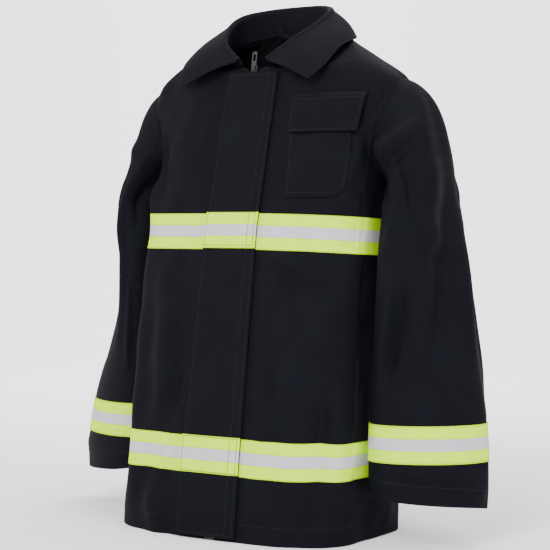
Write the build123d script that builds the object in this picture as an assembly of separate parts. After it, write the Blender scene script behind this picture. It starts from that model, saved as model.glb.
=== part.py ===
from build123d import *
from math import atan, cos, degrees, pi, sin
import os

os.makedirs("parts", exist_ok=True)

# ---------------------------------------------------------------------------
# A turnout coat, worn shape, standing on its hem.
# Millimetres. Front -Y, up +Z, the wearer's left +X, hem at z = 0.
# ---------------------------------------------------------------------------

# cloth
SHELL = 2.5             # outer shell, face cloth and its barrier film
LAYER_GAP = 0.5         # air between the shell and the liner
LINER = 4.0             # quilted thermal liner
TRIM_GAP = 0.3          # air under anything sewn on a panel
TAPE_THICK = 0.8        # reflective tape
TAPE_WIDTH = 50.0

# body of the coat: height, half width, y of the back
BODY_LEVELS = [
    (-20, 188, 134),
    (150, 188, 130),
    (300, 187, 123),
    (430, 187, 117),
    (520, 190, 110),
    (585, 212, 102),
    (628, 196, 94),
    (662, 145, 88),
    (695, 101, 84),
    (730, 86, 82),
]
BODY_HEIGHTS = (-20, 65, 150, 225, 300, 370, 430, 480, 520, 555, 585, 608, 628, 646, 662, 678, 695, 712, 730)
FRONT_FOOT_Y = -156.0   # centre front at the hem
FRONT_SLOPE = 0.178     # how far the front falls back for each mm of height
FRONT_SQUARENESS = 3.6  # power of the front half of each level's outline
BACK_SQUARENESS = 2.6
OUTLINE_POINTS = 28
SIDE_SEAM_Y = 22.0
SEAM_GAP = 0.4
FRONT_EDGE_X = 9.0      # each front stops this far from the zip's centre
LINER_EDGE_X = 24.0
LINER_HEM_Z = 36.0
FACING_HEIGHT = 32.0
FACING = 2.0

# neck
NECK_FRONT = (-45.0, 643.0)   # y, z of the neck cut at the front
NECK_BACK = (84.0, 702.0)

# armholes
ARMHOLE_Z = 553.0
ARMHOLE_HALF_HEIGHT = 70.0
ARMHOLE_HALF_DEPTH = 64.0
ARMHOLE_Y = 20.0
ARMHOLE_FROM_X = 166.0
SHOULDER_SEAM_X = 202.0

# sleeves: height, axis x, half long, half short, turn of the long side from sideways
SLEEVE_STATIONS = [
    (20, 266, 80, 42, 32),
    (110, 265, 80, 42, 32),
    (200, 255, 77, 43, 42),
    (300, 243, 74, 43, 60),
    (400, 237, 74, 43, 78),
    (530, 236, 74, 43, 88),
]
SLEEVE_HEIGHTS = (20, 80, 140, 200, 250, 300, 350, 400, 465, 530)
# the left arm hangs a little further forward than the right one: y at each station
SLEEVE_Y = {"left": (-24, -22, -14, -5, 4, 14), "right": (-2, 0, 8, 18, 22, 24)}
SLEEVE_TOP_Z = 505.0
ELBOW_TOP_Z = 360.0
ELBOW_BOTTOM_Z = 240.0
CUFF_Z = 48.0
CUFF_FACING_HEIGHT = 26.0
SLEEVE_TAPE_Z = 112.0
SLEEVE_LINER = 3.0

# shoulder cap between armhole and sleeve: height, outermost x, half depth
CAP_LEVELS = [
    (495, 280, 72),
    (530, 272, 71),
    (560, 262, 69),
    (585, 251, 65),
    (603, 240, 57),
    (616, 229, 47),
    (627, 213, 34),
]
CAP_AXIS_X = 188.0
CAP_FROM_X = 170.0

# reflective tape on the body
CHEST_TAPE_Z = 394.0
HEM_TAPE_Z = 86.0

# storm flap over the zip
FLAP_FREE_X = -50.0
FLAP_SEWN_X = 42.0
FLAP_BOTTOM_UP = 4.0
FLAP_TOP_UP = 648.0
FLAP_OUT = 2.8
FLAP_THICK = 4.0
STRIP_WIDTH = 24.0
STRIP_THICK = 0.9
STRIP_FROM_X = -44.0

# zip, along the sloping front
ZIP_BOTTOM_UP = 34.0
ZIP_TOP_UP = 650.0
ZIP_TAPE_WIDTH = 15.0
ZIP_TAPE_THICK = 1.0
TOOTH_PITCH = 6.0
TOOTH_HIGH = 3.4
TOOTH_LONG = 3.4
ZIP_SLOT = 0.9          # half the slot between the rows, where the slider's neck runs
SLIDER_WIDTH = 10.0
SLIDER_LENGTH = 17.0
PLATE = 1.4
PULL_LENGTH = 27.0
PULL_WIDTH = 8.0
PULL_THICK = 1.4

# chest pocket, on the wearer's left
POCKET_X = 70.0
POCKET_TURN = 7.0       # the pocket follows the chest round
POCKET_WIDTH = 94.0
POCKET_BOTTOM_UP = 470.0
POCKET_TOP_UP = 588.0
POCKET_ROOM = 12.0
POCKET_CLOTH = 1.6
POCKET_FLAP_WIDTH = 104.0
POCKET_FLAP_BOTTOM_UP = 561.0
POCKET_FLAP_TOP_UP = 616.0
POCKET_FLAP_THICK = 2.4

# collar, wearer's left half from the front to the back of the neck
NECK_SEAM = [(21, -36, 650), (52, -22, 658), (74, 4, 676), (76, 42, 694), (46, 70, 706), (0, 78, 708)]
COLLAR_FOLD = [(24, -46, 657), (62, -30, 683), (86, 4, 708), (88, 46, 730), (52, 82, 741), (0, 93, 744)]
COLLAR_EDGE = [(99, -60, 625), (124, -44, 648), (133, -6, 676), (120, 56, 694), (72, 100, 692), (0, 113, 690)]
COLLAR_CLOTH = 3.0
STAND_INSET = 8.0

FAR = 400.0             # reach of cutting blocks, well beyond the coat


def front_y(z):
    """y of the centre front at a height."""
    return FRONT_FOOT_Y + FRONT_SLOPE * z


def block(x0, x1, y0, y1, z0, z1):
    """An upright block between two corners."""
    size = Box(x1 - x0, y1 - y0, z1 - z0)
    return Pos((x0 + x1) / 2, (y0 + y1) / 2, (z0 + z1) / 2) * size


def smooth_row(rows, z):
    """The row of a table at height z, carried smoothly between the rows given."""
    last = len(rows) - 1
    k = max(i for i, row in enumerate(rows) if row[0] <= z + 1e-9)
    k = min(k, last - 1)
    low, high = rows[k], rows[k + 1]
    before, after = rows[max(k - 1, 0)], rows[min(k + 2, last)]
    span = high[0] - low[0]
    t = (z - low[0]) / span
    values = []
    for a, b, c, d in zip(before, low, high, after):
        leave = (c - a) / (high[0] - before[0]) * span
        arrive = (d - b) / (after[0] - low[0]) * span
        start = (2 * t**3 - 3 * t**2 + 1) * b + (t**3 - 2 * t**2 + t) * leave
        end = (3 * t**2 - 2 * t**3) * c + (t**3 - t**2) * arrive
        values.append(start + end)
    return values


def level_outline(z, half_width, back_y, inset):
    """The closed outline of the coat's body at one height."""
    near = front_y(z) + inset
    far = back_y - inset
    mid = (near + far) / 2
    half = (far - near) / 2
    wide = half_width - inset
    points = []
    for i in range(OUTLINE_POINTS):
        turn = 2 * pi * i / OUTLINE_POINTS
        c = cos(turn)
        s = sin(turn)
        power = BACK_SQUARENESS if s > 0 else FRONT_SQUARENESS
        x = wide * abs(c) ** (2 / power)
        y = half * abs(s) ** (2 / power)
        points.append((x if c > 0 else -x, mid + (y if s > 0 else -y), z))
    return Wire([Spline(*points, periodic=True)])


ENVELOPES = {}


def envelope(inset):
    """The body's volume, moved in from the cloth's outer face by inset."""
    if inset not in ENVELOPES:
        outlines = []
        for height in BODY_HEIGHTS:
            z, wide, back = smooth_row(BODY_LEVELS, height)
            outlines.append(level_outline(height, wide, back, inset))
        ENVELOPES[inset] = Solid.make_loft(outlines, ruled=True)
    return ENVELOPES[inset]


def neck_cutter():
    """Everything above the slanting neck line."""
    y0, z0 = NECK_FRONT
    y1, z1 = NECK_BACK
    tilt = degrees(atan((z1 - z0) / (y1 - y0)))
    raised = Pos(0, 0, FAR / 2) * Box(FAR, FAR, FAR)
    return Pos(0, y0, z0) * Rot(tilt, 0, 0) * raised


def armhole_cutter(sign):
    """The armhole's oval, and the shoulder beyond the sleeve seam."""
    oval = Rot(0, 90, 0) * Ellipse(ARMHOLE_HALF_HEIGHT, ARMHOLE_HALF_DEPTH)
    tunnel = extrude(oval, FAR, dir=(1, 0, 0))
    tunnel = Pos(ARMHOLE_FROM_X, ARMHOLE_Y, ARMHOLE_Z) * tunnel
    tip = block(SHOULDER_SEAM_X, FAR, -FAR, FAR, ARMHOLE_Z, FAR * 2)
    cutter = tunnel + tip
    return cutter if sign > 0 else mirror(cutter, Plane.YZ)


CUTTERS = [neck_cutter(), armhole_cutter(1), armhole_cutter(-1)]


def body_layer(outer, inner, bottom, top=FAR * 2):
    """One layer of the body's wall, with its neck and armholes open."""
    layer = envelope(outer) - envelope(inner)
    layer = layer & block(-FAR, FAR, -FAR, FAR, bottom, top)
    for cutter in CUTTERS:
        layer = layer - cutter
    return layer


def cut_front_and_back(layer, edge_x):
    """Left front, right front and back, parted at the zip and the side seams."""
    g = SEAM_GAP / 2
    left = layer & block(edge_x, FAR, -FAR, SIDE_SEAM_Y - g, -FAR, FAR * 2)
    right = layer & block(-FAR, -edge_x, -FAR, SIDE_SEAM_Y - g, -FAR, FAR * 2)
    back = layer & block(-FAR, FAR, SIDE_SEAM_Y + g, FAR, -FAR, FAR * 2)
    return left, right, back


def save(shape, name):
    """Write one named piece, as one solid or a group of them."""
    solids = shape.solids()
    piece = solids[0] if len(solids) == 1 else Compound(children=list(solids))
    piece.label = name
    export_step(piece, f"parts/{name}.step")


# the front's own frame: x across, y up the slope, z straight out of the cloth
LEAN = atan(FRONT_SLOPE)
FRONT = Plane((0, FRONT_FOOT_Y, 0), x_dir=(1, 0, 0), z_dir=(0, -cos(LEAN), sin(LEAN)))
OUTWARD = Axis((0, 0, 0), (0, -cos(LEAN), sin(LEAN)))


def slab(x0, x1, up0, up1, out0, out1):
    """A flat piece lying parallel to the front."""
    size = Box(x1 - x0, up1 - up0, out1 - out0)
    middle = Pos((x0 + x1) / 2, (up0 + up1) / 2, (out0 + out1) / 2)
    return FRONT.location * middle * size


# ---------------------------------------------------------------------------
# shell, liner and hem facing
# ---------------------------------------------------------------------------
shell_pieces = cut_front_and_back(body_layer(0, SHELL, 0), FRONT_EDGE_X)
for piece, name in zip(shell_pieces, ("front_panel_left", "front_panel_right", "back_panel")):
    save(piece, name)

liner_outer = SHELL + LAYER_GAP
liner_layer = body_layer(liner_outer, liner_outer + LINER, LINER_HEM_Z)
liner_pieces = cut_front_and_back(liner_layer, LINER_EDGE_X)
for piece, name in zip(liner_pieces, ("liner_front_left", "liner_front_right", "liner_back")):
    save(piece, name)

facing = body_layer(liner_outer, liner_outer + FACING, 1.0, 1.0 + FACING_HEIGHT)
facing = facing - block(-LINER_EDGE_X, LINER_EDGE_X, -FAR, 0, -FAR, FAR)
save(facing, "hem_facing")

# ---------------------------------------------------------------------------
# reflective tape round the body
# ---------------------------------------------------------------------------
tape_layer = envelope(-TRIM_GAP - TAPE_THICK) - envelope(-TRIM_GAP)
for band, low in (("chest", CHEST_TAPE_Z), ("hem", HEM_TAPE_Z)):
    ring = tape_layer & block(-FAR, FAR, -FAR, FAR, low, low + TAPE_WIDTH)
    left, right, back = cut_front_and_back(ring, 0)
    left = left - block(-FAR, FLAP_SEWN_X + 2, -FAR, 0, 0, FAR * 2)
    right = right - block(STRIP_FROM_X - 2, FAR, -FAR, 0, 0, FAR * 2)
    save(left, f"{band}_tape_left")
    save(right, f"{band}_tape_right")
    save(back, f"{band}_tape_back")

# ---------------------------------------------------------------------------
# storm flap, its tape and its closure strips
# ---------------------------------------------------------------------------
flap = slab(FLAP_FREE_X, FLAP_SEWN_X, FLAP_BOTTOM_UP, FLAP_TOP_UP, FLAP_OUT, FLAP_OUT + FLAP_THICK)
flap = fillet(flap.edges().filter_by(OUTWARD).group_by(Axis.X)[0], 3)
save(flap, "storm_flap")

flap_face = FLAP_OUT + FLAP_THICK + TRIM_GAP
for band, low in (("chest", CHEST_TAPE_Z), ("hem", HEM_TAPE_Z)):
    up = low / cos(LEAN)
    piece = slab(FLAP_FREE_X + 0.5, FLAP_SEWN_X, up, up + TAPE_WIDTH, flap_face, flap_face + TAPE_THICK)
    save(piece, f"flap_{band}_tape")

strip_end = STRIP_FROM_X + STRIP_WIDTH
strip_low = FLAP_BOTTOM_UP + 20
strip_high = FLAP_TOP_UP - 20
loop_top = TRIM_GAP + STRIP_THICK
save(slab(STRIP_FROM_X, strip_end, strip_low, strip_high, TRIM_GAP, loop_top), "flap_loop_strip")
hook_top = FLAP_OUT - 0.2
save(slab(STRIP_FROM_X, strip_end, strip_low, strip_high, hook_top - STRIP_THICK, hook_top), "flap_hook_strip")

# ---------------------------------------------------------------------------
# zip: two tapes behind the front edges, two rows of teeth, slider and pull
# ---------------------------------------------------------------------------
zip_back = -SHELL - 0.3
chain_out = -SHELL + 0.1
for side, sign in (("left", 1), ("right", -1)):
    inner = ZIP_SLOT + 2.4
    x0, x1 = sorted((sign * inner, sign * (inner + ZIP_TAPE_WIDTH)))
    tape = slab(x0, x1, ZIP_BOTTOM_UP, ZIP_TOP_UP, zip_back - ZIP_TAPE_THICK, zip_back)
    save(tape, f"zip_tape_{side}")
    teeth = []
    count = int((ZIP_TOP_UP - ZIP_BOTTOM_UP - 12) / TOOTH_PITCH)
    start = ZIP_BOTTOM_UP + 8 + (0 if sign > 0 else TOOTH_PITCH / 2)
    x0, x1 = sorted((sign * ZIP_SLOT, sign * (ZIP_SLOT + 2.2)))
    for i in range(count):
        low = start + i * TOOTH_PITCH
        teeth.append(slab(x0, x1, low, low + TOOTH_LONG, chain_out - TOOTH_HIGH, chain_out))
    save(Compound(children=teeth), f"zip_teeth_{side}")

box_low = ZIP_BOTTOM_UP - 8
save(slab(-6.5, 6.5, box_low, ZIP_BOTTOM_UP - 0.5, chain_out - TOOTH_HIGH, chain_out), "zip_box")

slider_low = ZIP_TOP_UP - 6
slider_high = slider_low + SLIDER_LENGTH
half = SLIDER_WIDTH / 2
plate_out = chain_out + 0.2
plate_in = chain_out - TOOTH_HIGH - 0.2
front_plate = slab(-half, half, slider_low, slider_high, plate_out, plate_out + PLATE)
back_plate = slab(-half / 2, half / 2, slider_low, slider_high, plate_in - PLATE, plate_in)
neck = slab(-0.6, 0.6, slider_high - 6, slider_high, plate_in - 0.5, plate_out + 0.5)
lug_up = slider_low + SLIDER_LENGTH / 2
lug_out = plate_out + PLATE
lugs = slab(-2.4, 2.4, lug_up - 2.5, lug_up + 2.5, lug_out - 0.3, lug_out + 2.2)
lugs = lugs - slab(-1.4, 1.4, lug_up - 3, lug_up + 3, lug_out, lug_out + 4)
slider = front_plate + back_plate + neck + lugs
pin_out = lug_out + 1.2
pin = FRONT.location * Pos(0, lug_up, pin_out) * Rot(0, 90, 0) * Cylinder(0.6, 4.4)
save(slider + pin, "zip_slider")

# the pull turns on the slider's pin; its eye is a ring round the pin
eye = FRONT.location * Pos(0, lug_up, pin_out) * Rot(0, 90, 0) * Cylinder(1.15, 2.4)
hole = FRONT.location * Pos(0, lug_up, pin_out) * Rot(0, 90, 0) * Cylinder(0.66, 3.0)
stem = slab(-1.1, 1.1, lug_up + 0.9, lug_up + 6, pin_out - PULL_THICK / 2, pin_out + PULL_THICK / 2)
blade_low = lug_up + 5.5
blade = slab(
    -PULL_WIDTH / 2, PULL_WIDTH / 2, blade_low, lug_up + PULL_LENGTH,
    pin_out - PULL_THICK / 2, pin_out + PULL_THICK / 2,
)
blade = fillet(blade.edges().filter_by(OUTWARD), 2.4)
window = slab(-1.8, 1.8, blade_low + 8, lug_up + PULL_LENGTH - 4, pin_out - 3, pin_out + 3)
save((eye + stem + blade - window) - hole, "zip_pull")

# ---------------------------------------------------------------------------
# chest pocket with its flap
# ---------------------------------------------------------------------------
POCKET = FRONT.location * Pos(POCKET_X, 0, 1.0) * Rot(0, POCKET_TURN, 0)


def pocket_slab(x0, x1, up0, up1, out0, out1):
    """A flat piece in the pocket's own frame."""
    size = Box(x1 - x0, up1 - up0, out1 - out0)
    return POCKET * Pos((x0 + x1) / 2, (up0 + up1) / 2, (out0 + out1) / 2) * size


pocket_front = POCKET_ROOM + POCKET_CLOTH
pocket = pocket_slab(0, POCKET_WIDTH, POCKET_BOTTOM_UP, POCKET_TOP_UP, -20, pocket_front)
room = pocket_slab(
    POCKET_CLOTH, POCKET_WIDTH - POCKET_CLOTH, POCKET_BOTTOM_UP + POCKET_CLOTH, POCKET_TOP_UP + 5,
    -30, POCKET_ROOM,
)
pocket = pocket - room - envelope(-TRIM_GAP)
save(pocket, "pocket_body")

patch = (12, POCKET_WIDTH - 12, POCKET_FLAP_BOTTOM_UP + 5, POCKET_FLAP_BOTTOM_UP + 23)
save(pocket_slab(*patch, pocket_front + 0.1, pocket_front + 0.9), "pocket_loop_patch")
save(pocket_slab(*patch, pocket_front + 1.1, pocket_front + 1.9), "pocket_hook_patch")

flap_low = pocket_front + 2.0
pocket_flap = pocket_slab(
    -3, POCKET_FLAP_WIDTH - 3, POCKET_FLAP_BOTTOM_UP, POCKET_FLAP_TOP_UP,
    flap_low, flap_low + POCKET_FLAP_THICK,
)
save(pocket_flap, "pocket_flap")

# ---------------------------------------------------------------------------
# collar: a standing band and the leaf turned down over it
# ---------------------------------------------------------------------------
def both_sides(points):
    """The half list carried round to the other side of the neck."""
    left = [Vector(*p) for p in points]
    right = [Vector(-p.X, p.Y, p.Z) for p in reversed(left[:-1])]
    return left + right


def ribbon(starts, ends, thickness):
    """A band of cloth between two lines of points, thickened to the side away from the neck."""
    faces = []
    last = len(starts) - 1
    for i, (a, b) in enumerate(zip(starts, ends)):
        along = starts[min(i + 1, last)] - starts[max(i - 1, 0)]
        out = (b - a).cross(along).normalized()
        if out.dot(Vector(a.X, a.Y - 20, 0)) < 0:
            out = out * -1
        out = out - (b - a) * (out.dot(b - a) / (b - a).dot(b - a))
        out = out.normalized() * thickness
        corners = [a, b, b + out, a + out]
        faces.append(Wire(Polyline(*corners, close=True).edges()))
    return Solid.make_loft(faces, ruled=True)


fold = both_sides(COLLAR_FOLD)
edge = both_sides(COLLAR_EDGE)
covered = envelope(-TRIM_GAP) - neck_cutter()
save(ribbon(fold, edge, COLLAR_CLOTH) - covered, "collar_leaf")

seam = both_sides(NECK_SEAM)
top = []
for p in fold:
    inward = Vector(p.X, p.Y - 22, 0).normalized() * STAND_INSET
    top.append(p - inward - Vector(0, 0, 1.5))
save(ribbon(seam, top, COLLAR_CLOTH), "collar_stand")

# hanger loop inside the back of the neck
loop_path = Spline((-24, 66, 716), (-19, 65, 705), (0, 64, 700), (19, 65, 705), (24, 66, 716))
loop_start = Plane(origin=(-24, 66, 716), z_dir=loop_path % 0, x_dir=(0, 1, 0))
save(sweep(loop_start * Rectangle(1.2, 8), path=loop_path), "hanger_loop")

# ---------------------------------------------------------------------------
# sleeves
# ---------------------------------------------------------------------------
SLEEVES = {}


def sleeve_volume(side, inset):
    """A sleeve's whole length, moved in from the cloth's outer face by inset."""
    if (side, inset) not in SLEEVES:
        stations = [row + (y,) for row, y in zip(SLEEVE_STATIONS, SLEEVE_Y[side])]
        rings = []
        for height in SLEEVE_HEIGHTS:
            z, x, long, short, turn, y = smooth_row(stations, height)
            ring = Pos(x, y, z) * Rot(0, 0, turn) * Ellipse(long - inset, short - inset)
            rings.append(ring.wire())
        sleeve = Solid.make_loft(rings, ruled=True)
        SLEEVES[side, inset] = sleeve if side == "left" else mirror(sleeve, Plane.YZ)
    return SLEEVES[side, inset]


def sleeve_tube(side, outer, inner, low, high):
    """A length of sleeve wall."""
    tube = sleeve_volume(side, outer) - sleeve_volume(side, inner)
    return tube & block(-FAR, FAR, -FAR, FAR, low, high)


def cap_volume(sign, inset):
    """The rounded cap over the top of the arm."""
    rings = []
    last = len(CAP_LEVELS) - 1
    for i, (z, outer, deep) in enumerate(CAP_LEVELS):
        height = z - inset * i / last
        ring = Ellipse(outer - CAP_AXIS_X - inset, deep - inset)
        rings.append((Pos(sign * CAP_AXIS_X, ARMHOLE_Y, height) * ring).wire())
    return Solid.make_loft(rings, ruled=True)


for side, sign in (("left", 1), ("right", -1)):
    lining = SHELL + LAYER_GAP
    save(sleeve_tube(side, 0, SHELL, ELBOW_TOP_Z, SLEEVE_TOP_Z), f"upper_sleeve_{side}")
    save(sleeve_tube(side, 0, SHELL, CUFF_Z, ELBOW_BOTTOM_Z), f"lower_sleeve_{side}")
    fold_gap = 0.5
    save(
        sleeve_tube(side, 0, SHELL, ELBOW_BOTTOM_Z + fold_gap, ELBOW_TOP_Z - fold_gap),
        f"elbow_fold_{side}",
    )
    save(
        sleeve_tube(side, lining, lining + SLEEVE_LINER, ELBOW_TOP_Z, SLEEVE_TOP_Z - 2),
        f"sleeve_liner_upper_{side}",
    )
    save(
        sleeve_tube(side, lining, lining + SLEEVE_LINER, CUFF_Z + 32, ELBOW_BOTTOM_Z),
        f"sleeve_liner_lower_{side}",
    )
    save(
        sleeve_tube(side, lining, lining + FACING, CUFF_Z + 1, CUFF_Z + 1 + CUFF_FACING_HEIGHT),
        f"cuff_facing_{side}",
    )
    save(
        sleeve_tube(side, -TRIM_GAP - TAPE_THICK, -TRIM_GAP, SLEEVE_TAPE_Z, SLEEVE_TAPE_Z + TAPE_WIDTH),
        f"sleeve_tape_{side}",
    )
    cap = cap_volume(sign, 0) - cap_volume(sign, SHELL) - envelope(-SEAM_GAP)
    x0, x1 = sorted((sign * CAP_FROM_X, sign * FAR))
    cap = cap & block(x0, x1, -FAR, FAR, SLEEVE_TOP_Z + 0.5, FAR * 2)
    save(cap, f"shoulder_cap_{side}")
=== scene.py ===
import math
import bpy
import numpy as np
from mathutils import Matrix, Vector


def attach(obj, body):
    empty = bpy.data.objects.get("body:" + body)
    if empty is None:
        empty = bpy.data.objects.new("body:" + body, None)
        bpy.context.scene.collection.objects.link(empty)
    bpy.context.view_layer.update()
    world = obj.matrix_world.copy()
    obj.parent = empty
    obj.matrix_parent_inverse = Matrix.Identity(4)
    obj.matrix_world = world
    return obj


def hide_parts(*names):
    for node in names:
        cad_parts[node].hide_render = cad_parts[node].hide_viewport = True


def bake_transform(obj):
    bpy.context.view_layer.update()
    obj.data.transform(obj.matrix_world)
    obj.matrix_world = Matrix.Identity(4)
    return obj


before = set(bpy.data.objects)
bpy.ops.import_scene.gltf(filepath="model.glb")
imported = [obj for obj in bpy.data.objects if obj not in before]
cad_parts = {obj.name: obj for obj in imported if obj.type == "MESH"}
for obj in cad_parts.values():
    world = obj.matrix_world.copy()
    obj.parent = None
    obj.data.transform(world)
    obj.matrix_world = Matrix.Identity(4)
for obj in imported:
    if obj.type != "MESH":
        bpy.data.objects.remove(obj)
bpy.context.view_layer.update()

# ---- shape of the worn coat, in millimetres, as in the CAD ----
BODY = [(-20, 188, 134), (150, 188, 130), (300, 187, 123), (430, 187, 117), (520, 190, 110),
        (585, 212, 102), (628, 203, 94), (662, 153, 88), (695, 104, 84), (730, 86, 82)]
FRONT_FOOT, FRONT_SLOPE = -156.0, 0.178
FRONT_POWER, BACK_POWER = 3.6, 2.6
SEAM_Y = 20.0
ARM_LOW, ARM_HIGH, ARM_DEEP = 484.0, 627.0, 52.0
LEAN = math.atan(FRONT_SLOPE)
SLEEVE = {
    "left": [(20, 266, -24, 79, 42, 32), (110, 265, -22, 80, 43, 32), (200, 259, -14, 77, 43, 42),
             (300, 249, -5, 73, 43, 60), (400, 239, 4, 72, 41, 76), (500, 231, 14, 72, 38, 88)],
    "right": [(20, 266, -2, 79, 42, 32), (110, 265, 0, 80, 43, 32), (200, 255, 8, 77, 43, 42),
              (300, 238, 18, 73, 41, 60), (400, 226, 21, 71, 38, 76), (500, 221, 22, 70, 35, 88)],
}
CUFF_Z, SLEEVE_PART_Z, SLEEVE_RING_Z = 48.0, 372.0, 455.0
FLAP_X = (-50.0, 42.0)
FLAP_HEIGHTS, FLAP_FREE, FLAP_SEWN = (0, 110, 420, 560, 640), (-51, -55, -51, -43, -36), (43, 39, 32, 39, 43)


def row_at(rows, z):
    """A table row at height z, carried smoothly between the rows given."""
    z = min(max(z, rows[0][0]), rows[-1][0])
    k = min(max(i for i, r in enumerate(rows) if r[0] <= z + 1e-9), len(rows) - 2)
    a, b = rows[k], rows[k + 1]
    p, q = rows[max(k - 1, 0)], rows[min(k + 2, len(rows) - 1)]
    h = b[0] - a[0]
    t = (z - a[0]) / h
    out = []
    for w, x, y, v in zip(p[1:], a[1:], b[1:], q[1:]):
        m0, m1 = (y - w) / (b[0] - p[0]) * h, (v - x) / (q[0] - a[0]) * h
        out.append((2*t**3 - 3*t*t + 1) * x + (t**3 - 2*t*t + t) * m0 + (3*t*t - 2*t**3) * y + (t**3 - t*t) * m1)
    return out


def narrowing(z):
    """The wearer's right shoulder is carried in, so that side is a little narrower up high."""
    t = min(max((z - 430) / 130, 0.0), 1.0)
    return 1 - 0.095 * t * t * (3 - 2 * t)


def ridge(x, z, x0, z0, x1, z1, wide, high):
    """A soft fold along a line, fading at its ends."""
    dx, dz = x1 - x0, z1 - z0
    t = ((x - x0) * dx + (z - z0) * dz) / (dx * dx + dz * dz)
    c = min(max(t, 0.0), 1.0)
    d = math.hypot(x - x0 - c * dx, z - z0 - c * dz)
    bow = 1.0 - 0.6 * abs(2 * c - 1) ** 2
    return high * bow * math.exp(-(d / wide) ** 2)


FRONT_FOLDS = [
    (-120, 350, -96, 110, 20, 6), (-158, 385, -150, 40, 17, 6), (-88, 300, -76, 170, 14, -4),
    (-140, 560, -95, 480, 26, 5), (-172, 545, -150, 470, 9, -6), (-180, 500, -160, 440, 8, 4),
    (-70, 250, -130, 30, 20, -4), (58, 388, 132, 352, 9, 3.5), (60, 370, 110, 330, 10, -3),
    (52, 240, 78, 150, 12, 4), (70, 250, 92, 160, 10, -3), (165, 215, 172, 60, 13, 6), (150, 200, 150, 60, 10, -4),
    (120, 330, 165, 250, 24, 5), (150, 470, 184, 440, 9, 4), (110, 130, 120, 10, 22, 5), (-110, 60, -90, 4, 18, 5),
    (176, 560, 150, 455, 9, 4), (160, 590, 185, 520, 9, -4), (100, 250, 60, 60, 26, 3),
]
BACK_FOLDS = [
    (-80, 430, -100, 20, 22, 7), (-40, 400, -52, 10, 20, -5), (70, 440, 92, 10, 24, 7), (20, 380, 26, 10, 22, 5),
    (-150, 470, -120, 250, 16, 6), (150, 480, 125, 240, 16, 6), (-160, 560, -60, 520, 14, 5), (160, 560, 60, 525, 14, 5),
    (-110, 300, -150, 60, 16, -5), (140, 260, 150, 40, 16, -5),
]


def wave(a, b, seed):
    """Broad unevenness of hanging cloth."""
    return (math.sin(a * 0.031 + seed) * math.sin(b * 0.017 + 1.7 * seed) +
            0.5 * math.sin(a * 0.071 + b * 0.023 + 2.3 * seed) + 0.25 * math.sin(a * 0.13 - b * 0.06 + seed))


def body_at(z, turn, out=0.0, folds=True):
    """A point of the coat's outer face: turn is degrees round from the wearer's left, front at -90."""
    wide, far = row_at(BODY, z)
    near = FRONT_FOOT + FRONT_SLOPE * z
    mid, half = (near + far) / 2, (far - near) / 2
    c, s = math.cos(math.radians(turn)), math.sin(math.radians(turn))
    p = BACK_POWER if s > 0 else FRONT_POWER
    x = math.copysign(wide * abs(c) ** (2 / p), c)
    y = mid + math.copysign(half * abs(s) ** (2 / p), s)
    nx = math.copysign(abs(x / wide) ** (p - 1) / wide, c)
    ny = math.copysign(abs((y - mid) / half) ** (p - 1) / half, s)
    n = math.hypot(nx, ny)
    nx, ny = nx / n, ny / n
    push = out
    if folds:
        rows = FRONT_FOLDS if s < 0 else BACK_FOLDS
        side = min(1.0, abs(s) * 2.5)
        f = sum(ridge(x, z, *r) for r in rows) * side
        f += 1.6 * wave(x if abs(s) > 0.4 else y, z, 0.7 if s < 0 else 2.9)
        if s < 0:
            calm = min(1.0, max(0.0, (abs(x + 4) - 50) / 26))
            pocket = 1 - 0.85 * max(0, 1 - abs(x - 122) / 62) * max(0, 1 - abs(z - 535) / 90)
            f *= calm * pocket
        f *= min(1.0, max(0.0, (690 - z) / 50))
        if z > 380 and abs(c) > 0.86:
            f *= 0.4
        push += 1.9 * f
    x += nx * push
    return (x * narrowing(z) if x < 0 else x, y + ny * push, z)


def turn_for_x(x, z):
    """The turn on the front where the face is at x."""
    wide = row_at(BODY, z)[0]
    q = min(abs(x) / wide, 1.0) ** (FRONT_POWER / 2)
    return -math.degrees(math.acos(math.copysign(min(q, 1.0), x)))


def front_at(x, z, out=0.0):
    """A point of the coat's front face at x and z."""
    return body_at(z, turn_for_x(x, z), out)


def armhole_turn(z, sign, back):
    """Where the panel ends at the armhole or at the side seam, as a turn in degrees."""
    wide, far = row_at(BODY, z)
    near = FRONT_FOOT + FRONT_SLOPE * z
    mid, half = (near + far) / 2, (far - near) / 2
    y = SEAM_Y
    if ARM_LOW < z < ARM_HIGH:
        deep = ARM_DEEP * math.sin(math.pi * (z - ARM_LOW) / (ARM_HIGH - ARM_LOW)) ** 0.5
        y = SEAM_Y + (deep if back else -deep)
    r = min(abs(y - mid) / half, 0.999)
    p = BACK_POWER if y > mid else FRONT_POWER
    t = math.degrees(math.asin(r ** (p / 2))) * (1 if y > mid else -1)
    return t if sign > 0 else (180 - t if t > 0 else -180 - t)


def sleeve_at(side, z, a, out=0.0):
    """A point of a sleeve's outer face: a is degrees round, 0 outward, -90 forward."""
    sign = 1 if side == "left" else -1
    ca, sa = math.cos(math.radians(a)), math.sin(math.radians(a))
    cx, cy, long, short, turn = row_at(SLEEVE[side], z)
    t = math.radians(turn)
    # the point of the ellipse that faces direction a
    dx, dy = ca * math.cos(t) + sa * math.sin(t), -ca * math.sin(t) + sa * math.cos(t)
    k = math.hypot(long * dx, short * dy)
    ex, ey = long * long * dx / k, short * short * dy / k
    x, y = cx + ex * math.cos(t) - ey * math.sin(t), cy + ex * math.sin(t) + ey * math.cos(t)
    d = out + sleeve_fold(side, a, z)
    return (sign * (x + ca * d), y + sa * d, z)


def cuff_z(a):
    """The cuff's edge, which rides higher on the hand's side."""
    return CUFF_Z + 10 * (1 + math.cos(math.radians(a + 150)))


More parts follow.
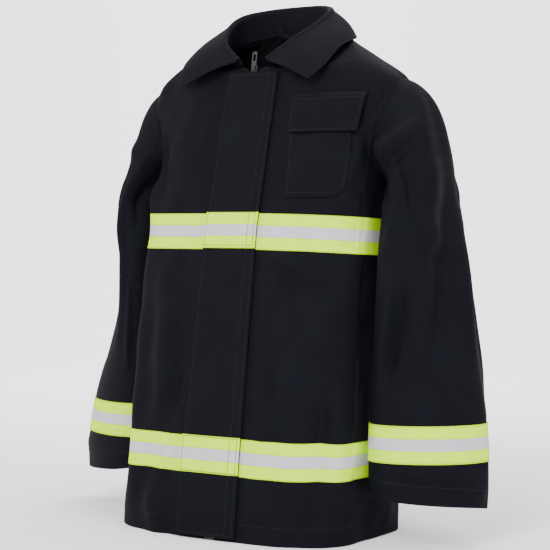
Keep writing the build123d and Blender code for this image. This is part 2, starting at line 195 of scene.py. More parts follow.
def sleeve_fold(side, a, z):
    """How far the folds push the sleeve's face out, at direction a and height z."""
    a = (a + 180) % 360 - 180
    s = a * 1.15
    f = (1.8 if side == "left" else 1.0) * sum(ridge(s + k, z, *r) for r in SLEEVE_FOLDS[side] for k in (-414, 0, 414))
    turn = math.radians(a)
    f += 1.5 * wave(60 * math.sin(turn), z + 40 * math.cos(turn), 4.1 if side == "left" else 5.3)
    f *= 1 - 0.7 * max(0.0, 1 - (abs(z - 137) / 34) ** 4)
    inward = min(1.0, max(0.0, (-math.cos(turn) - 0.1) / 0.5))
    f += (0.3 * min(f, 2.0) - f) * inward
    # the cloth is drawn in under the arm
    return f - 11.0 * math.exp(-((a + 126) / 24) ** 2 - ((z - 462) / 42) ** 2)


def sleeve_head_at(side, t, a, out=0.0):
    """The sleeve from the armhole seam, t = 0, to the level ring below the armpit, t = 1."""
    sign = 1 if side == "left" else -1
    turn = math.radians(a)
    ca, sa = math.cos(turn), math.sin(turn)
    z0 = (ARM_LOW + ARM_HIGH) / 2 + (ARM_HIGH - ARM_LOW) / 2 * ca
    y0 = SEAM_Y + math.copysign(ARM_DEEP * max(math.cos(math.pi / 2 * ca), 0.0) ** 0.5, sa)
    wide, far = row_at(BODY, z0)
    near = FRONT_FOOT + FRONT_SLOPE * z0
    mid, half = (near + far) / 2, (far - near) / 2
    p = BACK_POWER if y0 > mid else FRONT_POWER
    x0 = wide * (1 - min(abs(y0 - mid) / half, 1.0) ** p) ** (1 / p)
    seam = np.array([x0 - 2.5 + min(out, 0.0), y0, z0])
    low = np.array(sleeve_at(side, SLEEVE_RING_Z, a, out))
    low[0] *= sign
    top = (1 + ca) / 2
    leave = np.array([14 + 165 * top ** 1.6, 14 * sa, -(24 + 34 * sa * sa)])
    gap = np.linalg.norm(low - seam)
    arrive = np.array([0.12 * ca, 0.0, -1.0]) * gap * 0.85
    x, y, z = ((2*t**3 - 3*t*t + 1) * seam + (t**3 - 2*t*t + t) * leave + (3*t*t - 2*t**3) * low + (t**3 - t*t) * arrive)
    rise = min(1.0, t * 5) * (sleeve_fold(side, a, z) - sleeve_fold(side, a, SLEEVE_RING_Z) * t ** 3) + out * (1 - t) * min(1, t * 8)
    lean = top * (1 - t) * 0.8
    x += ca * rise * (1 - lean)
    return (x if side == "left" else -x * narrowing(z) / narrowing(SLEEVE_RING_Z), y + sa * rise, z + rise * lean)


SLEEVE_FOLDS = {
    "left": [(-150, 505, -40, 560, 11, 7), (-130, 490, -55, 528, 10, -6), (-95, 520, -20, 400, 13, 7), (-62, 500, -30, 380, 9, -6),
             (-20, 500, -62, 250, 13, 8), (0, 470, -50, 240, 10, -6), (25, 440, -20, 220, 18, 6), (-88, 350, -120, 235, 11, 6),
             (-70, 330, -100, 215, 9, -5), (-60, 100, 10, 80, 11, 2.5), (-100, 92, -20, 72, 9, -2), (60, 420, 75, 180, 20, 6),
             (100, 380, 120, 150, 18, 5), (-30, 230, -70, 175, 14, 4), (90, 520, 40, 430, 14, 5)],
    "right": [(-140, 500, -40, 545, 11, 6), (-110, 520, -60, 400, 12, 6), (-60, 480, -80, 250, 13, 7), (-20, 460, -40, 230, 14, -5),
              (20, 430, 0, 200, 18, 6), (70, 420, 60, 190, 18, 5), (-60, 96, 10, 78, 10, 2), (110, 400, 100, 160, 18, 5),
              (-100, 330, -110, 220, 10, 5), (90, 520, 40, 430, 14, 5)],
}


# ---- mesh building ----
def cloth(name, at, nu, nv, thick, material, closed=False, flip=False, stripe=0.0):
    """A sheet of cloth over a grid, closed with its thickness. at(u, v) gives the outer face in mm."""
    P = np.array([[at(i / nu, j / nv) for j in range(nv + 1)] for i in range(nu + (0 if closed else 1))], float)
    ring = np.concatenate([P[-1:], P, P[:1]]) if closed else P
    du = np.gradient(ring, axis=0)[1:-1] if closed else np.gradient(P, axis=0)
    dv = np.gradient(P, axis=1)
    N = np.cross(du, dv)
    N /= np.maximum(np.linalg.norm(N, axis=2, keepdims=True), 1e-9)
    if flip:
        N = -N
    T = np.array([[thick(i / nu, j / nv) for j in range(P.shape[1])] for i in range(P.shape[0])]) if callable(thick) \
        else np.full(P.shape[:2], thick)
    Q = P - N * T[..., None]
    rows, cols = P.shape[:2]
    verts = np.concatenate([P.reshape(-1, 3), Q.reshape(-1, 3)]) * 0.001
    base = rows * cols

    def vid(i, j, under=0):
        return (i % rows) * cols + j + under * base
    step_u = np.linalg.norm(np.diff(P[:, cols // 2], axis=0), axis=1)
    arc_u = np.concatenate([[0], np.cumsum(step_u)])
    step_v = np.linalg.norm(np.diff(P[rows // 2], axis=0), axis=1)
    arc_v = np.concatenate([[0], np.cumsum(step_v)])
    if closed:
        arc_u = np.append(arc_u, arc_u[-1] + np.linalg.norm(P[0, cols // 2] - P[-1, cols // 2]))
    if stripe:
        arc_v = np.linspace(0, stripe, cols)
    faces, uvs = [], []
    cells = rows if closed else rows - 1
    for i in range(cells):
        for j in range(cols - 1):
            corner = [(i, j), (i + 1, j), (i + 1, j + 1), (i, j + 1)]
            top = [vid(*c) for c in corner]
            uv = [(arc_u[c[0]], arc_v[c[1]]) for c in corner]
            low = [vid(*c, 1) for c in corner]
            if flip:
                top, uv2 = top[::-1], uv[::-1]
                faces += [top, low]
                uvs += [uv2, uv]
            else:
                faces += [top, low[::-1]]
                uvs += [uv, uv[::-1]]
    rims = [[(i, 0) for i in range(cells + 1)], [(i, cols - 1) for i in range(cells + 1)][::-1]]
    if not closed:
        rims += [[(rows - 1, j) for j in range(cols)], [(0, j) for j in range(cols)][::-1]]
    for rim in rims:
        for a, b in zip(rim, rim[1:]):
            q = [vid(*b), vid(*a), vid(*a, 1), vid(*b, 1)]
            faces.append(q[::-1] if flip else q)
            uvs.append([(arc_u[min(c[0], len(arc_u) - 1)], arc_v[c[1]]) for c in (b, a, a, b)])
    mesh = bpy.data.meshes.new(name)
    mesh.from_pydata(verts.tolist(), [], faces)
    layer = mesh.uv_layers.new(name="UVMap")
    flat = [c for face in uvs for c in face]
    layer.data.foreach_set("uv", np.array(flat, dtype=np.float32).ravel() * 0.001)
    mesh.polygons.foreach_set("use_smooth", [True] * len(mesh.polygons))
    mesh.validate()
    mesh.set_sharp_from_angle(angle=math.radians(50))
    obj = bpy.data.objects.new(name, mesh)
    bpy.context.collection.objects.link(obj)
    obj.data.materials.append(material)
    A, B = P[:cells], np.roll(P, -1, 0)[:cells]
    e1 = np.linalg.norm(np.cross(B[:, :-1] - A[:, :-1], A[:, 1:] - A[:, :-1]), axis=2)
    e2 = np.linalg.norm(np.cross(B[:, 1:] - B[:, :-1], B[:, 1:] - A[:, 1:]), axis=2)
    area = float((e1 + e2).sum() / 2) * 1e-6
    loop = np.concatenate([P, P[:1]]) if closed else P
    width = float(np.linalg.norm(np.diff(loop, axis=0), axis=2).sum(0).max()) * 0.001
    length = float(np.linalg.norm(np.diff(P, axis=1), axis=2).sum(1).max()) * 0.001
    obj["flat"] = (width, length, min(area, width * length))
    return obj


def declare(obj):
    """Reads a sheet's flat size, worked out from its modelled face; nothing further is done with it."""
    w, l, area = obj["flat"]


def stitches(name, paths, normals, material, pitch=3.6, long=2.5, radius=0.42):
    """Rows of thread: one short raised stitch after another, along each path."""
    verts, faces = [], []
    for path, normal in zip(paths, normals):
        pts = np.array(path, float)
        seg = np.linalg.norm(np.diff(pts, axis=0), axis=1)
        s = np.concatenate([[0], np.cumsum(seg)])
        total = s[-1]

        def where(d):
            return np.array([np.interp(d, s, pts[:, k]) for k in range(3)])
        d = 1.0
        while d + long < total:
            a, b = where(d), where(d + long)
            axis = (b - a) / max(np.linalg.norm(b - a), 1e-9)
            n = np.array(normal if not callable(normal) else normal(a), float)
            side = np.cross(axis, n)
            side /= max(np.linalg.norm(side), 1e-9)
            n = np.cross(side, axis)
            k = len(verts)
            for t, r in ((0, 0.25), (0.25, 1), (0.75, 1), (1, 0.25)):
                c = a + (b - a) * t
                for q in range(6):
                    w = q * math.pi / 3
                    verts.append(c + radius * r * (math.cos(w) * side + 0.8 * math.sin(w) * n))
            for m in range(3):
                for q in range(6):
                    faces.append((k + m*6 + q, k + m*6 + (q+1) % 6, k + m*6 + 6 + (q+1) % 6, k + m*6 + 6 + q))
            faces.append(tuple(k + q for q in range(5, -1, -1)))
            faces.append(tuple(k + 18 + q for q in range(6)))
            d += pitch
    mesh = bpy.data.meshes.new(name)
    mesh.from_pydata((np.array(verts) * 0.001).tolist(), [], faces)
    mesh.polygons.foreach_set("use_smooth", [True] * len(mesh.polygons))
    obj = bpy.data.objects.new(name, mesh)
    bpy.context.collection.objects.link(obj)
    obj.data.materials.append(material)
    return obj


# ---- materials ----
def new_material(name, rough, sheen=0.0, spec=0.3, metal=0.0, coat=0.0):
    m = bpy.data.materials.new(name)
    m.use_nodes = True
    nt = m.node_tree
    b = nt.nodes["Principled BSDF"]
    b.inputs["Roughness"].default_value = rough
    b.inputs["Metallic"].default_value = metal
    b.inputs["Specular IOR Level"].default_value = spec
    b.inputs["Sheen Weight"].default_value = sheen
    b.inputs["Sheen Roughness"].default_value = 0.45
    b.inputs["Coat Weight"].default_value = coat
    return m, nt, b


def node(nt, kind, **values):
    """A shader node with the given sockets or settings."""
    n = nt.nodes.new(kind)
    for k, v in values.items():
        if k in n.inputs:
            n.inputs[k].default_value = v
        else:
            setattr(n, k, v)
    return n


def woven(name, dark, light, rough=0.85, sheen=0.25, pitch=0.9, bump=0.25, spec=0.25):
    """Twill: two crossing thread directions with soft dye unevenness and rubbed high spots."""
    m, nt, b = new_material(name, rough, sheen, spec)
    link = nt.links.new
    uv = node(nt, "ShaderNodeUVMap")
    tilt = node(nt, "ShaderNodeMapping")
    tilt.inputs["Rotation"].default_value = (0, 0, math.radians(58))
    link(uv.outputs[0], tilt.inputs[0])
    warp = node(nt, "ShaderNodeTexWave", Scale=1000.0 / pitch / 6.283, Distortion=0.6)
    link(tilt.outputs[0], warp.inputs[0])
    weft = node(nt, "ShaderNodeTexWave", Scale=1000.0 / pitch / 6.283 * 0.6, Distortion=0.4, bands_direction="Y")
    link(uv.outputs[0], weft.inputs[0])
    blotch = node(nt, "ShaderNodeTexNoise", Scale=14.0, Detail=5.0, Roughness=0.6)
    link(uv.outputs[0], blotch.inputs[0])
    fuzz = node(nt, "ShaderNodeTexNoise", Scale=900.0, Detail=3.0)
    link(uv.outputs[0], fuzz.inputs[0])
    mix = node(nt, "ShaderNodeMath", operation="MULTIPLY")
    link(warp.outputs["Fac"], mix.inputs[0])
    link(weft.outputs["Fac"], mix.inputs[1])
    tone = node(nt, "ShaderNodeMath", operation="MULTIPLY_ADD")
    link(mix.outputs[0], tone.inputs[0])
    tone.inputs[1].default_value = 0.35
    link(blotch.outputs["Fac"], tone.inputs[2])
    ramp = node(nt, "ShaderNodeValToRGB")
    ramp.color_ramp.elements[0].position, ramp.color_ramp.elements[1].position = 0.3, 0.95
    ramp.color_ramp.elements[0].color = (*dark, 1)
    ramp.color_ramp.elements[1].color = (*light, 1)
    link(tone.outputs[0], ramp.inputs[0])
    link(ramp.outputs[0], b.inputs["Base Color"])
    rough_map = node(nt, "ShaderNodeMapRange")
    rough_map.inputs["To Min"].default_value, rough_map.inputs["To Max"].default_value = rough - 0.08, min(rough + 0.1, 1)
    link(blotch.outputs["Fac"], rough_map.inputs[0])
    link(rough_map.outputs[0], b.inputs["Roughness"])
    height = node(nt, "ShaderNodeMath", operation="MULTIPLY_ADD")
    link(fuzz.outputs["Fac"], height.inputs[0])
    height.inputs[1].default_value = 0.5
    link(mix.outputs[0], height.inputs[2])
    bm = node(nt, "ShaderNodeBump", Strength=bump, Distance=0.0006)
    link(height.outputs[0], bm.inputs["Height"])
    link(bm.outputs[0], b.inputs["Normal"])
    return m


def reflective(name):
    """Three equal stripes, fluorescent, silver, fluorescent, with a fine printed grid."""
    m, nt, b = new_material(name, 0.7, 0.0, 0.04)
    link = nt.links.new
    uv = node(nt, "ShaderNodeUVMap")
    split = node(nt, "ShaderNodeSeparateXYZ")
    link(uv.outputs[0], split.inputs[0])
    across = node(nt, "ShaderNodeMath", operation="MULTIPLY")
    across.inputs[1].default_value = 20.0
    link(split.outputs[1], across.inputs[0])
    ramp = node(nt, "ShaderNodeValToRGB")
    cr = ramp.color_ramp
    cr.interpolation = "CONSTANT"
    lime, silver, thread = (0.58, 0.93, 0.0, 1), (0.50, 0.505, 0.53, 1), (0.42, 0.66, 0.0, 1)
    cr.elements[0].position, cr.elements[0].color = 0.0, thread
    cr.elements[1].position, cr.elements[1].color = 0.03, lime
    for pos, col in ((0.33, thread), (0.345, silver), (0.655, thread), (0.67, lime), (0.97, thread)):
        cr.elements.new(pos).color = col
    link(across.outputs[0], ramp.inputs[0])
    noise = node(nt, "ShaderNodeTexNoise", Scale=60.0, Detail=4.0)
    link(uv.outputs[0], noise.inputs[0])
    shade = node(nt, "ShaderNodeMapRange")
    shade.inputs["To Min"].default_value, shade.inputs["To Max"].default_value = 0.9, 1.06
    link(noise.outputs["Fac"], shade.inputs[0])
    mul = node(nt, "ShaderNodeMix", data_type="RGBA", blend_type="MULTIPLY")
    mul.inputs[0].default_value = 1.0
    link(ramp.outputs[0], mul.inputs[6])
    link(shade.outputs[0], mul.inputs[7])
    link(mul.outputs[2], b.inputs["Base Color"])
    cells = node(nt, "ShaderNodeTexBrick", Scale=420.0)
    cells.inputs["Mortar Size"].default_value = 0.03
    link(uv.outputs[0], cells.inputs[0])
    bm = node(nt, "ShaderNodeBump", Strength=0.18, Distance=0.0004)
    link(cells.outputs["Fac"], bm.inputs["Height"])
    link(bm.outputs[0], b.inputs["Normal"])
    return m


def metal(name, colour, rough):
    """Plated metal with fine wear."""
    m, nt, b = new_material(name, rough, 0, 0.5, 1.0)
    link = nt.links.new
    co = node(nt, "ShaderNodeTexCoord")
    noise = node(nt, "ShaderNodeTexNoise", Scale=900.0, Detail=4.0)
    link(co.outputs["Object"], noise.inputs[0])
    ramp = node(nt, "ShaderNodeValToRGB")
    ramp.color_ramp.elements[0].color = (*[c * 0.7 for c in colour], 1)
    ramp.color_ramp.elements[1].color = (*colour, 1)
    link(noise.outputs["Fac"], ramp.inputs[0])
    link(ramp.outputs[0], b.inputs["Base Color"])
    bm = node(nt, "ShaderNodeBump", Strength=0.15, Distance=0.0003)
    link(noise.outputs["Fac"], bm.inputs["Height"])
    link(bm.outputs[0], b.inputs["Normal"])
    return m


SHELL = woven("shell_twill", (0.0013, 0.0015, 0.0029), (0.0042, 0.0048, 0.0082), 0.78, 0.0, 1.1, 0.45, 0.09)
INNER = woven("liner_cloth", (0.002, 0.002, 0.003), (0.005, 0.005, 0.007), 0.9, 0.0, 0.8, 0.2, 0.06)
THREAD = woven("thread", (0.009, 0.010, 0.015), (0.02, 0.022, 0.03), 0.7, 0.0, 0.5, 0.2, 0.2)
TAPE = reflective("reflective_tape")
PILE = woven("hook_and_loop", (0.002, 0.002, 0.003), (0.008, 0.008, 0.01), 1.0, 0.05, 0.5, 0.8, 0.1)
ZIPCLOTH = woven("zip_tape", (0.002, 0.0022, 0.003), (0.006, 0.006, 0.008), 0.8, 0.0, 0.7, 0.5, 0.1)
BRASS = metal("zip_teeth", (0.42, 0.36, 0.24), 0.38)
NICKEL = metal("zip_metal", (0.07, 0.068, 0.066), 0.45)

# ---- collar lines: seam on the neck, roll and edge of the leaf ----
SEAM = [(21, -36, 648), (52, -24, 655), (76, 4, 670), (80, 42, 688), (48, 74, 701), (0, 81, 704)]
FOLD = [(24, -46, 657), (56, -32, 681), (75, 2, 705), (77, 44, 728), (48, 78, 739), (0, 90, 742)]
EDGE = [(101, -62, 624), (118, -47, 643), (123, -6, 674), (111, 54, 690), (69, 99, 691), (0, 113, 688)]


def loop(points, t):
    pts = points + [(-x, y, z) for x, y, z in points[-2::-1]]
    s = t * (len(pts) - 1)
    k = min(int(s), len(pts) - 2)
    f = s - k
    p = [np.array(pts[min(max(k + d, 0), len(pts) - 1)], float) for d in (-1, 0, 1, 2)]
    return 0.5 * (2*p[1] + (p[2]-p[0])*f + (2*p[0]-5*p[1]+4*p[2]-p[3])*f*f + (3*p[1]-p[0]-3*p[2]+p[3])*f**3)


# ---- body panels ----
def neck_z(y):
    """The height of the neck line on the panels."""
    return float(np.interp(y, [-45, -30, 0, 25, 84], [643, 649, 668, 683, 701]))


def panel(sign, back, low, out, edge):
    """A quarter of the body, from its hem to the neck line and on to the collar seam."""
    reach = {}

    def raw(u, z):
        start = 90.0 if back else turn_for_x(sign * edge, z)
        end = armhole_turn(z, sign, back)
        if sign < 0 and back:
            end = end if end > 0 else 360 + end
        if not back and sign < 0 and end > 0:
            end = end - 360
        return body_at(z, start + (end - start) * u, out)

    def at(u, v):
        if u not in reach:
            lo, hi = 600.0, 720.0
            for _ in range(16):
                m = (lo + hi) / 2
                lo, hi = (lo, m) if m > neck_z(raw(u, m)[1]) else (m, hi)
            reach[u] = lo
        if v <= 0.93:
            return raw(u, low + (reach[u] - low) * v / 0.93)
        w = (v - 0.93) / 0.07
        t = (0.5 - 0.25 * u) if back else 0.25 * u
        goal = loop(SEAM, t if sign > 0 else 1 - t) + np.array([0, 0, out])
        return tuple(np.array(raw(u, reach[u])) * (1 - w) + goal * w)
    return at


def quilt(u, v, wide, tall):
    """The liner's thickness: full inside each diamond, thin along the quilting lines."""
    a, b = u * wide / 42.0, v * tall / 42.0
    d = min(abs((a + b) % 1 - 0.5), abs((a - b) % 1 - 0.5))
    return 1.4 + 2.6 * min(1.0, d * 5)


DENSE = 1.0


def count(n):
    return max(4, int(n * DENSE))


front_left = cloth("front_left_cloth", panel(1, False, 0.0, 0.0, 9.0), count(80), count(190), 2.2, SHELL)
front_right = cloth("front_right_cloth", panel(-1, False, 0.0, 0.0, 9.0), count(80), count(190), 2.2, SHELL, flip=True)
back_left = cloth("back_left_cloth", panel(1, True, 0.0, 0.0, 0), count(80), count(190), 2.2, SHELL, flip=True)
back_right = cloth("back_right_cloth", panel(-1, True, 0.0, 0.0, 0), count(80), count(190), 2.2, SHELL)
for o, n in ((front_left, "front_panel_left"), (front_right, "front_panel_right"), (back_left, "back_panel")):
    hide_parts(n)
for o in (front_left, front_right, back_left, back_right):
    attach(o, "torso")
    declare(o)

for sign, back, name, cad in ((1, False, "liner_left_cloth", "liner_front_left"), (-1, False, "liner_right_cloth", "liner_front_right"),
                              (1, True, "liner_back_left_cloth", "liner_back"), (-1, True, "liner_back_right_cloth", None)):
    o = cloth(name, panel(sign, back, 34.0, -3.4, 22.0), count(64), count(150),
              lambda u, v: quilt(u, v, 260, 640), INNER, flip=(sign > 0) == back)
    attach(o, "torso")
    declare(o)
    if cad:
        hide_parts(cad)

start_turn = turn_for_x(22, 10)
facing = cloth("hem_facing_cloth", lambda u, v: body_at(1.5 + 30 * v, start_turn + (360 - 2 * (start_turn + 90)) * u, -2.9),
               count(160), 6, 1.4, SHELL)
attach(facing, "torso")
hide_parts("hem_facing")
declare(facing)

# ---- sleeves: each in two lengths that meet on the upper arm ----
for side in ("left", "right"):
    mirror = side == "right"
    def upper(u, v, side=side, out=0.0):
        if v < 0.36:
            return sleeve_at(side, SLEEVE_PART_Z + (SLEEVE_RING_Z - SLEEVE_PART_Z) * v / 0.36, 360 * u, out)
        return sleeve_head_at(side, 1 - (v - 0.36) / 0.64, 360 * u, out)

    def lower(u, v, side=side, out=0.0, foot=0.0):
        bottom = cuff_z(360 * u) + foot
        return sleeve_at(side, bottom + (SLEEVE_PART_Z - bottom) * v, 360 * u, out)
    top = cloth(f"sleeve_upper_{side}_cloth", upper, count(132), count(100), 1.8, SHELL, closed=True, flip=mirror)
    low = cloth(f"sleeve_lower_{side}_cloth", lower, count(120), count(120), 1.8, SHELL, closed=True, flip=mirror)
    lin_u = cloth(f"sleeve_lining_upper_{side}", lambda u, v, side=side: upper(u, v * 0.97, side, -4.0), count(72), count(50), 1.5,
                  INNER, closed=True, flip=mirror)
    lin_l = cloth(f"sleeve_lining_lower_{side}", lambda u, v, side=side: lower(u, v, side, -4.0, 24.0), count(72), count(64),
                  1.5, INNER, closed=True, flip=mirror)
    cuff = cloth(f"cuff_facing_{side}_cloth", lambda u, v, side=side: sleeve_at(side, cuff_z(360 * u) + 1.5 + 27 * v, 360 * u, -2.4), count(100), 5, 1.2,
                 SHELL, closed=True, flip=mirror)
    band = cloth(f"sleeve_band_{side}", lambda u, v, side=side: sleeve_at(side, 112 + 50 * v, 360 * u, 1.3), count(140), 12, 1.0,
                 TAPE, closed=True, flip=mirror, stripe=50)
    sgn = 1 if side == "left" else -1
    body_u, body_f = f"upper_arm_{side}", f"forearm_{side}"
    for o in (top, lin_u):
        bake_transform(o)
    for o in (low, lin_l):
        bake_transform(o)
    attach(cuff, body_f)
    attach(band, body_f)
    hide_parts(f"upper_sleeve_{side}", f"shoulder_cap_{side}")
    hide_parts(f"lower_sleeve_{side}", f"elbow_fold_{side}")
    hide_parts(f"sleeve_liner_upper_{side}")
    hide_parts(f"sleeve_liner_lower_{side}")
    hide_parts(f"cuff_facing_{side}")
    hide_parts(f"sleeve_tape_{side}")
    for o in (top, low, lin_u, lin_l, cuff, band):
        declare(o)
    ring = [sleeve_at(side, cuff_z(a) + 24, a, 0.25) for a in range(0, 361, 4)]
    edges = [[sleeve_at(side, z, a, 1.5) for a in range(0, 361, 4)] for z in (114.5, 159.5)]
    st = stitches(f"cuff_stitching_{side}", [ring], [lambda p: (p[0] - sgn * 265, p[1], 0)], THREAD)
    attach(st, body_f)
    for k, e in enumerate(edges):
        st = stitches(f"band_stitching_{side}_{k}", [e], [lambda p: (p[0] - sgn * 265, p[1], 0)], TAPE)
        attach(st, body_f)

# ---- bands round the body ----
for band, low in (("chest", 392.0), ("hem", 86.0)):
    for name, start_x in (("left", 30.0), ("right", -46.0), ("back", 0.0)):
        def at(u, v, name=name, start_x=start_x, low=low):
            z = low + 50 * v
            drop = 8.0 if low > 300 else 0.0
            if name == "back":
                z -= drop * (1 - u)
                s = armhole_turn(z, 1, True)
                return body_at(z, s + (180 - 2 * s) * u, 1.1)
            sign = 1 if name == "left" else -1
            z -= drop * u if sign > 0 else 0.0
            s, e = turn_for_x(start_x, z), armhole_turn(z, sign, False)
            return body_at(z, s + ((e if e < 0 or sign > 0 else e - 360) - s) * u, 1.1)
        o = cloth(f"{band}_band_{name}", at, count(110 if name == "back" else 70), 12, 0.9, TAPE, stripe=50, flip=name == "right")
        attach(o, "torso")
        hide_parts(f"{band}_tape_{name}")
        declare(o)


# ---- storm flap: hinged on its sewn edge, a little lifted along the free one ----
def flap_at(u, v, out, x0=FLAP_X[0], x1=FLAP_X[1], z0=4.0, z1=640.0):
    x, z = x0 + (x1 - x0) * u, z0 + (z1 - z0) * v
    share = (x - FLAP_X[0]) / (FLAP_X[1] - FLAP_X[0])
    left, right = np.interp(z, FLAP_HEIGHTS, FLAP_FREE), np.interp(z, FLAP_HEIGHTS, FLAP_SEWN)
    x = left + (right - left) * share
    free = (FLAP_X[1] - x) / (FLAP_X[1] - FLAP_X[0])
    lift = out + 1.3 + free * (1.2 + 0.9 * math.sin(z * 0.021 + 0.6) + 0.5 * math.sin(z * 0.047))
    lift -= 3.0 * max(0.0, (share - 0.8) / 0.2) ** 2
    lift += 0.5 * math.sin(x * 0.08) * math.sin(z * 0.03)
    return (x, FRONT_FOOT + FRONT_SLOPE * z - lift, z)


flap = cloth("storm_flap_cloth", lambda u, v: flap_at(u, v, 5.0), count(30), count(190), 3.2, SHELL)
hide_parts("storm_flap", "flap_hook_strip")
parts = [flap]
for band, low in (("chest", 392.0), ("hem", 86.0)):
    o = cloth(f"flap_{band}_band", lambda u, v, low=low: flap_at(u, v, 6.1, z0=low + 2, z1=low + 52), count(30), 12, 0.9, TAPE, stripe=50)
    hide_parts(f"flap_{band}_tape")
    parts.append(o)
for o in parts:
    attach(o, "storm_flap")
    declare(o)


def flap_line(x0, z0, x1, z1, out=5.2, n=90):
    a, b = (x0 + 50) / 92, (x1 + 50) / 92
    return [flap_at(a + (b - a) * k / n, (z0 + (z1 - z0) * k / n - 4) / 636, out) for k in range(n + 1)]


rows = [flap_line(-46, 8, -46, 636), flap_line(-46, 8, 38, 8), flap_line(-46, 636, 38, 636),
        flap_line(28, 6, 28, 638), flap_line(38, 6, 38, 638)]
o = stitches("flap_stitching", rows, [(0, -1, 0)] * len(rows), THREAD)
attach(o, "storm_flap")
rows = [flap_line(x, low + 3, x, low + 51, 6.3) for x in (-47, 28, 38) for low in (394, 86)]
rows += [flap_line(-49, low + h, 41, low + h, 6.3) for h in (4, 50) for low in (394, 86)]
o = stitches("flap_band_stitching", rows, [(0, -1, 0)] * len(rows), THREAD)
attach(o, "storm_flap")


# ---- chest pocket ----
def pocket_at(u, v):
    """The chest pocket's face, raised inside its sewn rim."""
    x, z = 69 + (94 - 8 * (1 - v)) * u, 464 + 118 * v
    z += max(0.0, u - 0.86) / 0.14 * 9 * max(0.0, 1 - v * 8)
    rim = min(1.0, min(u, 1 - u) * 14) * min(1.0, v * 16)
    return front_at(x, z, 1.2 + rim * 2.0 + 3.0 * math.sin(math.pi * u) * math.sin(math.pi * min(v + 0.1, 1)))


def pocket_flap_at(u, v):
    """The pocket flap's face, sewn down along its top."""
    x, z = 73 + (106 - 9 * (1 - v)) * u, 553 + 54 * v
    x += (1 - v) * -3
    rise = min(1.0, (1 - v) * 6)
    return front_at(x, z, 3.6 + rise * 4.6 + 0.8 * math.sin(7 * u) * (1 - v))


pocket = cloth("chest_pocket_cloth", pocket_at, count(44), count(50), 1.2, SHELL)
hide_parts("pocket_body", "pocket_loop_patch")
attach(pocket, "torso")
pflap = cloth("pocket_flap_cloth", pocket_flap_at, count(48), count(28), 2.0, SHELL)
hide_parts("pocket_flap", "pocket_hook_patch")
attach(pflap, "pocket_flap")
for o in (pocket, pflap):
    declare(o)


def lift(points, d=0.3):
    return [(x, y - d, z) for x, y, z in points]


n = 40
rows = [lift([pocket_at(0.04, k / n * 0.8) for k in range(n)]), lift([pocket_at(0.96, 0.06 + k / n * 0.72) for k in range(n)]),
        lift([pocket_at(0.04 + 0.92 * k / n, 0.05) for k in range(n)])]
o = stitches("pocket_stitching", rows, [(0, -1, 0)] * 3, THREAD)
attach(o, "torso")
rows = [lift([pocket_flap_at(0.03, k / n) for k in range(n)]), lift([pocket_flap_at(0.97, k / n) for k in range(n)]),
        lift([pocket_flap_at(k / n, 0.06) for k in range(n)]), lift([pocket_flap_at(k / n, 0.94) for k in range(n)]),
        lift([pocket_flap_at(k / n, 0.84) for k in range(n)])]
o = stitches("pocket_flap_stitching", rows, [(0, -1, 0)] * 5, THREAD)
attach(o, "pocket_flap")

# ---- seams on the body: hem and armhole ----
rows, ways = [], []
for sign in (1, -1):
    rows.append([body_at(24, turn_for_x(sign * 12, 24) + sign * 1.0 * a, 0.25) for a in range(0, 172)])
    ways.append(lambda p: (p[0], p[1], 0))
    for off in (4, 9):
        line = [body_at(z, armhole_turn(z, sign, False) - sign * off * 0.45, 0.3) for z in range(int(ARM_LOW) + 4, 622, 4)]
        rows.append(line)
        ways.append(lambda p: (p[0], p[1] - 60, 0.2))
o = stitches("body_stitching", rows, ways, THREAD)
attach(o, "torso")

# ---- collar: stand, roll and leaf in one sheet ----

def collar_at(u, v):
    """The collar in one sheet: up the stand, over the roll and down the leaf."""
    a, b, c = loop(SEAM, u), loop(FOLD, u), loop(EDGE, u)
    away = np.array([b[0], b[1] - 22, 0.0])
    away /= np.linalg.norm(away)
    inner = b - away * 5 - np.array([0, 0, 2.0])
    if v < 0.3:
        p = a + (inner - a) * (v / 0.3)
    elif v < 0.42:
        w = (v - 0.3) / 0.12 * math.pi
        p = inner + away * 3.2 * (1 - math.cos(w)) + np.array([0, 0, 4.2 * math.sin(w)])
    else:
        w = (v - 0.42) / 0.58
        top = inner + away * 6.4
        p = top + (c - top) * w + away * (4.5 * math.sin(math.pi * w)) + np.array([0, 0, 2.2 * math.sin(math.pi * w)])
        p = p + away * 1.2 * math.sin(u * 31) * w * min(1, 12 * u * (1 - u))
    return tuple(p)


collar = cloth("collar_cloth", collar_at, count(150), count(56), 2.0, SHELL, flip=False)
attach(collar, "torso")
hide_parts("collar_stand", "collar_leaf")
declare(collar)
rows = [[collar_at(0.015 + 0.97 * k / 220, 0.955) for k in range(221)],
        [collar_at(0.012, 0.46 + 0.5 * k / 30) for k in range(31)], [collar_at(0.988, 0.46 + 0.5 * k / 30) for k in range(31)]]
rows = [[(p[0] * 1.002, p[1] - 0.3 if p[1] < 30 else p[1] + 0.3, p[2] + 0.3) for p in r] for r in rows]
o = stitches("collar_stitching", rows, [lambda p: (p[0], p[1] - 20, 40)] * 3, THREAD)
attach(o, "torso")

# ---- CAD pieces that stay ----
for nodes, material in ((("zip_teeth_left", "zip_teeth_right", "zip_box"), BRASS), (("zip_slider", "zip_pull"), NICKEL),
                        (("zip_tape_left", "zip_tape_right", "hanger_loop"), ZIPCLOTH), (("flap_loop_strip",), PILE)):
    for n in nodes:
        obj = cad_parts[n]
        obj.data.materials.clear()
        obj.data.materials.append(material)

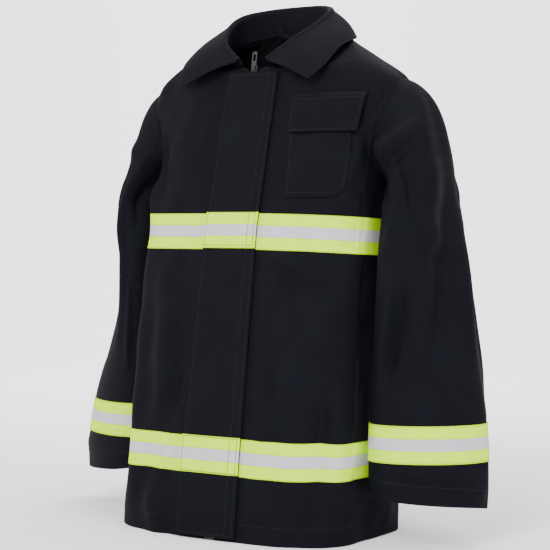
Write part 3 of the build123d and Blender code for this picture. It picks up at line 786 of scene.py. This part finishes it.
# ---- studio ----
floor_mesh = bpy.data.meshes.new("studio_floor")
profile = [(-6, 0.0)] + [(2.5 + 2.0 * math.sin(a), 2.0 * (1 - math.cos(a))) for a in np.linspace(0, math.pi / 2, 20)] + [(4.5, 7.0)]
v = [(x, y, z - 0.0005) for y, z in profile for x in (-9, 9)]
floor_mesh.from_pydata(v, [], [(2*i, 2*i+1, 2*i+3, 2*i+2) for i in range(len(profile) - 1)])
floor_mesh.polygons.foreach_set("use_smooth", [True] * len(floor_mesh.polygons))
floor = bpy.data.objects.new("studio_floor", floor_mesh)
bpy.context.collection.objects.link(floor)
fm, fnt, fb = new_material("studio_paper", 0.9, 0, 0.1)
fb.inputs["Base Color"].default_value = (0.95, 0.95, 0.97, 1)
floor.data.materials.append(fm)
floor.rotation_euler = (0, 0, math.radians(32))


def lamp(name, place, aim, size, power):
    """A soft rectangular light."""
    data = bpy.data.lights.new(name, "AREA")
    data.shape, data.size, data.size_y, data.energy = "RECTANGLE", size, size * 1.2, power
    obj = bpy.data.objects.new(name, data)
    bpy.context.collection.objects.link(obj)
    obj.location = place
    obj.rotation_euler = (Vector(aim) - Vector(place)).to_track_quat("-Z", "Y").to_euler()


lamp("key", (0.4, -3.0, 2.6), (0, 0, 0.4), 1.6, 150)
lamp("fill", (3.2, -1.0, 1.5), (0, 0, 0.35), 1.8, 70)
lamp("side", (-2.8, -1.2, 1.6), (0, 0, 0.4), 1.4, 45)
lamp("top", (0.3, 0.8, 3.2), (0, 0, 0.4), 1.6, 60)
lamp("backdrop", (-0.9, 1.3, 2.8), (-2.2, 4.0, 1.2), 2.0, 190)
world = bpy.data.worlds.new("studio") if not bpy.context.scene.world else bpy.context.scene.world
bpy.context.scene.world = world
world.use_nodes = True
world.node_tree.nodes["Background"].inputs[0].default_value = (0.88, 0.88, 0.9, 1)
world.node_tree.nodes["Background"].inputs[1].default_value = 0.75

az, el = math.radians(32), math.radians(2)
camera_data = bpy.data.cameras.new("camera")
camera_data.lens = 1580 / 550 * 36
camera = bpy.data.objects.new("camera", camera_data)
bpy.context.collection.objects.link(camera)
camera.location = (1.20536, -1.91425, 0.43299)
camera.rotation_euler = (math.pi / 2 - el, 0, az)
bpy.context.scene.camera = camera
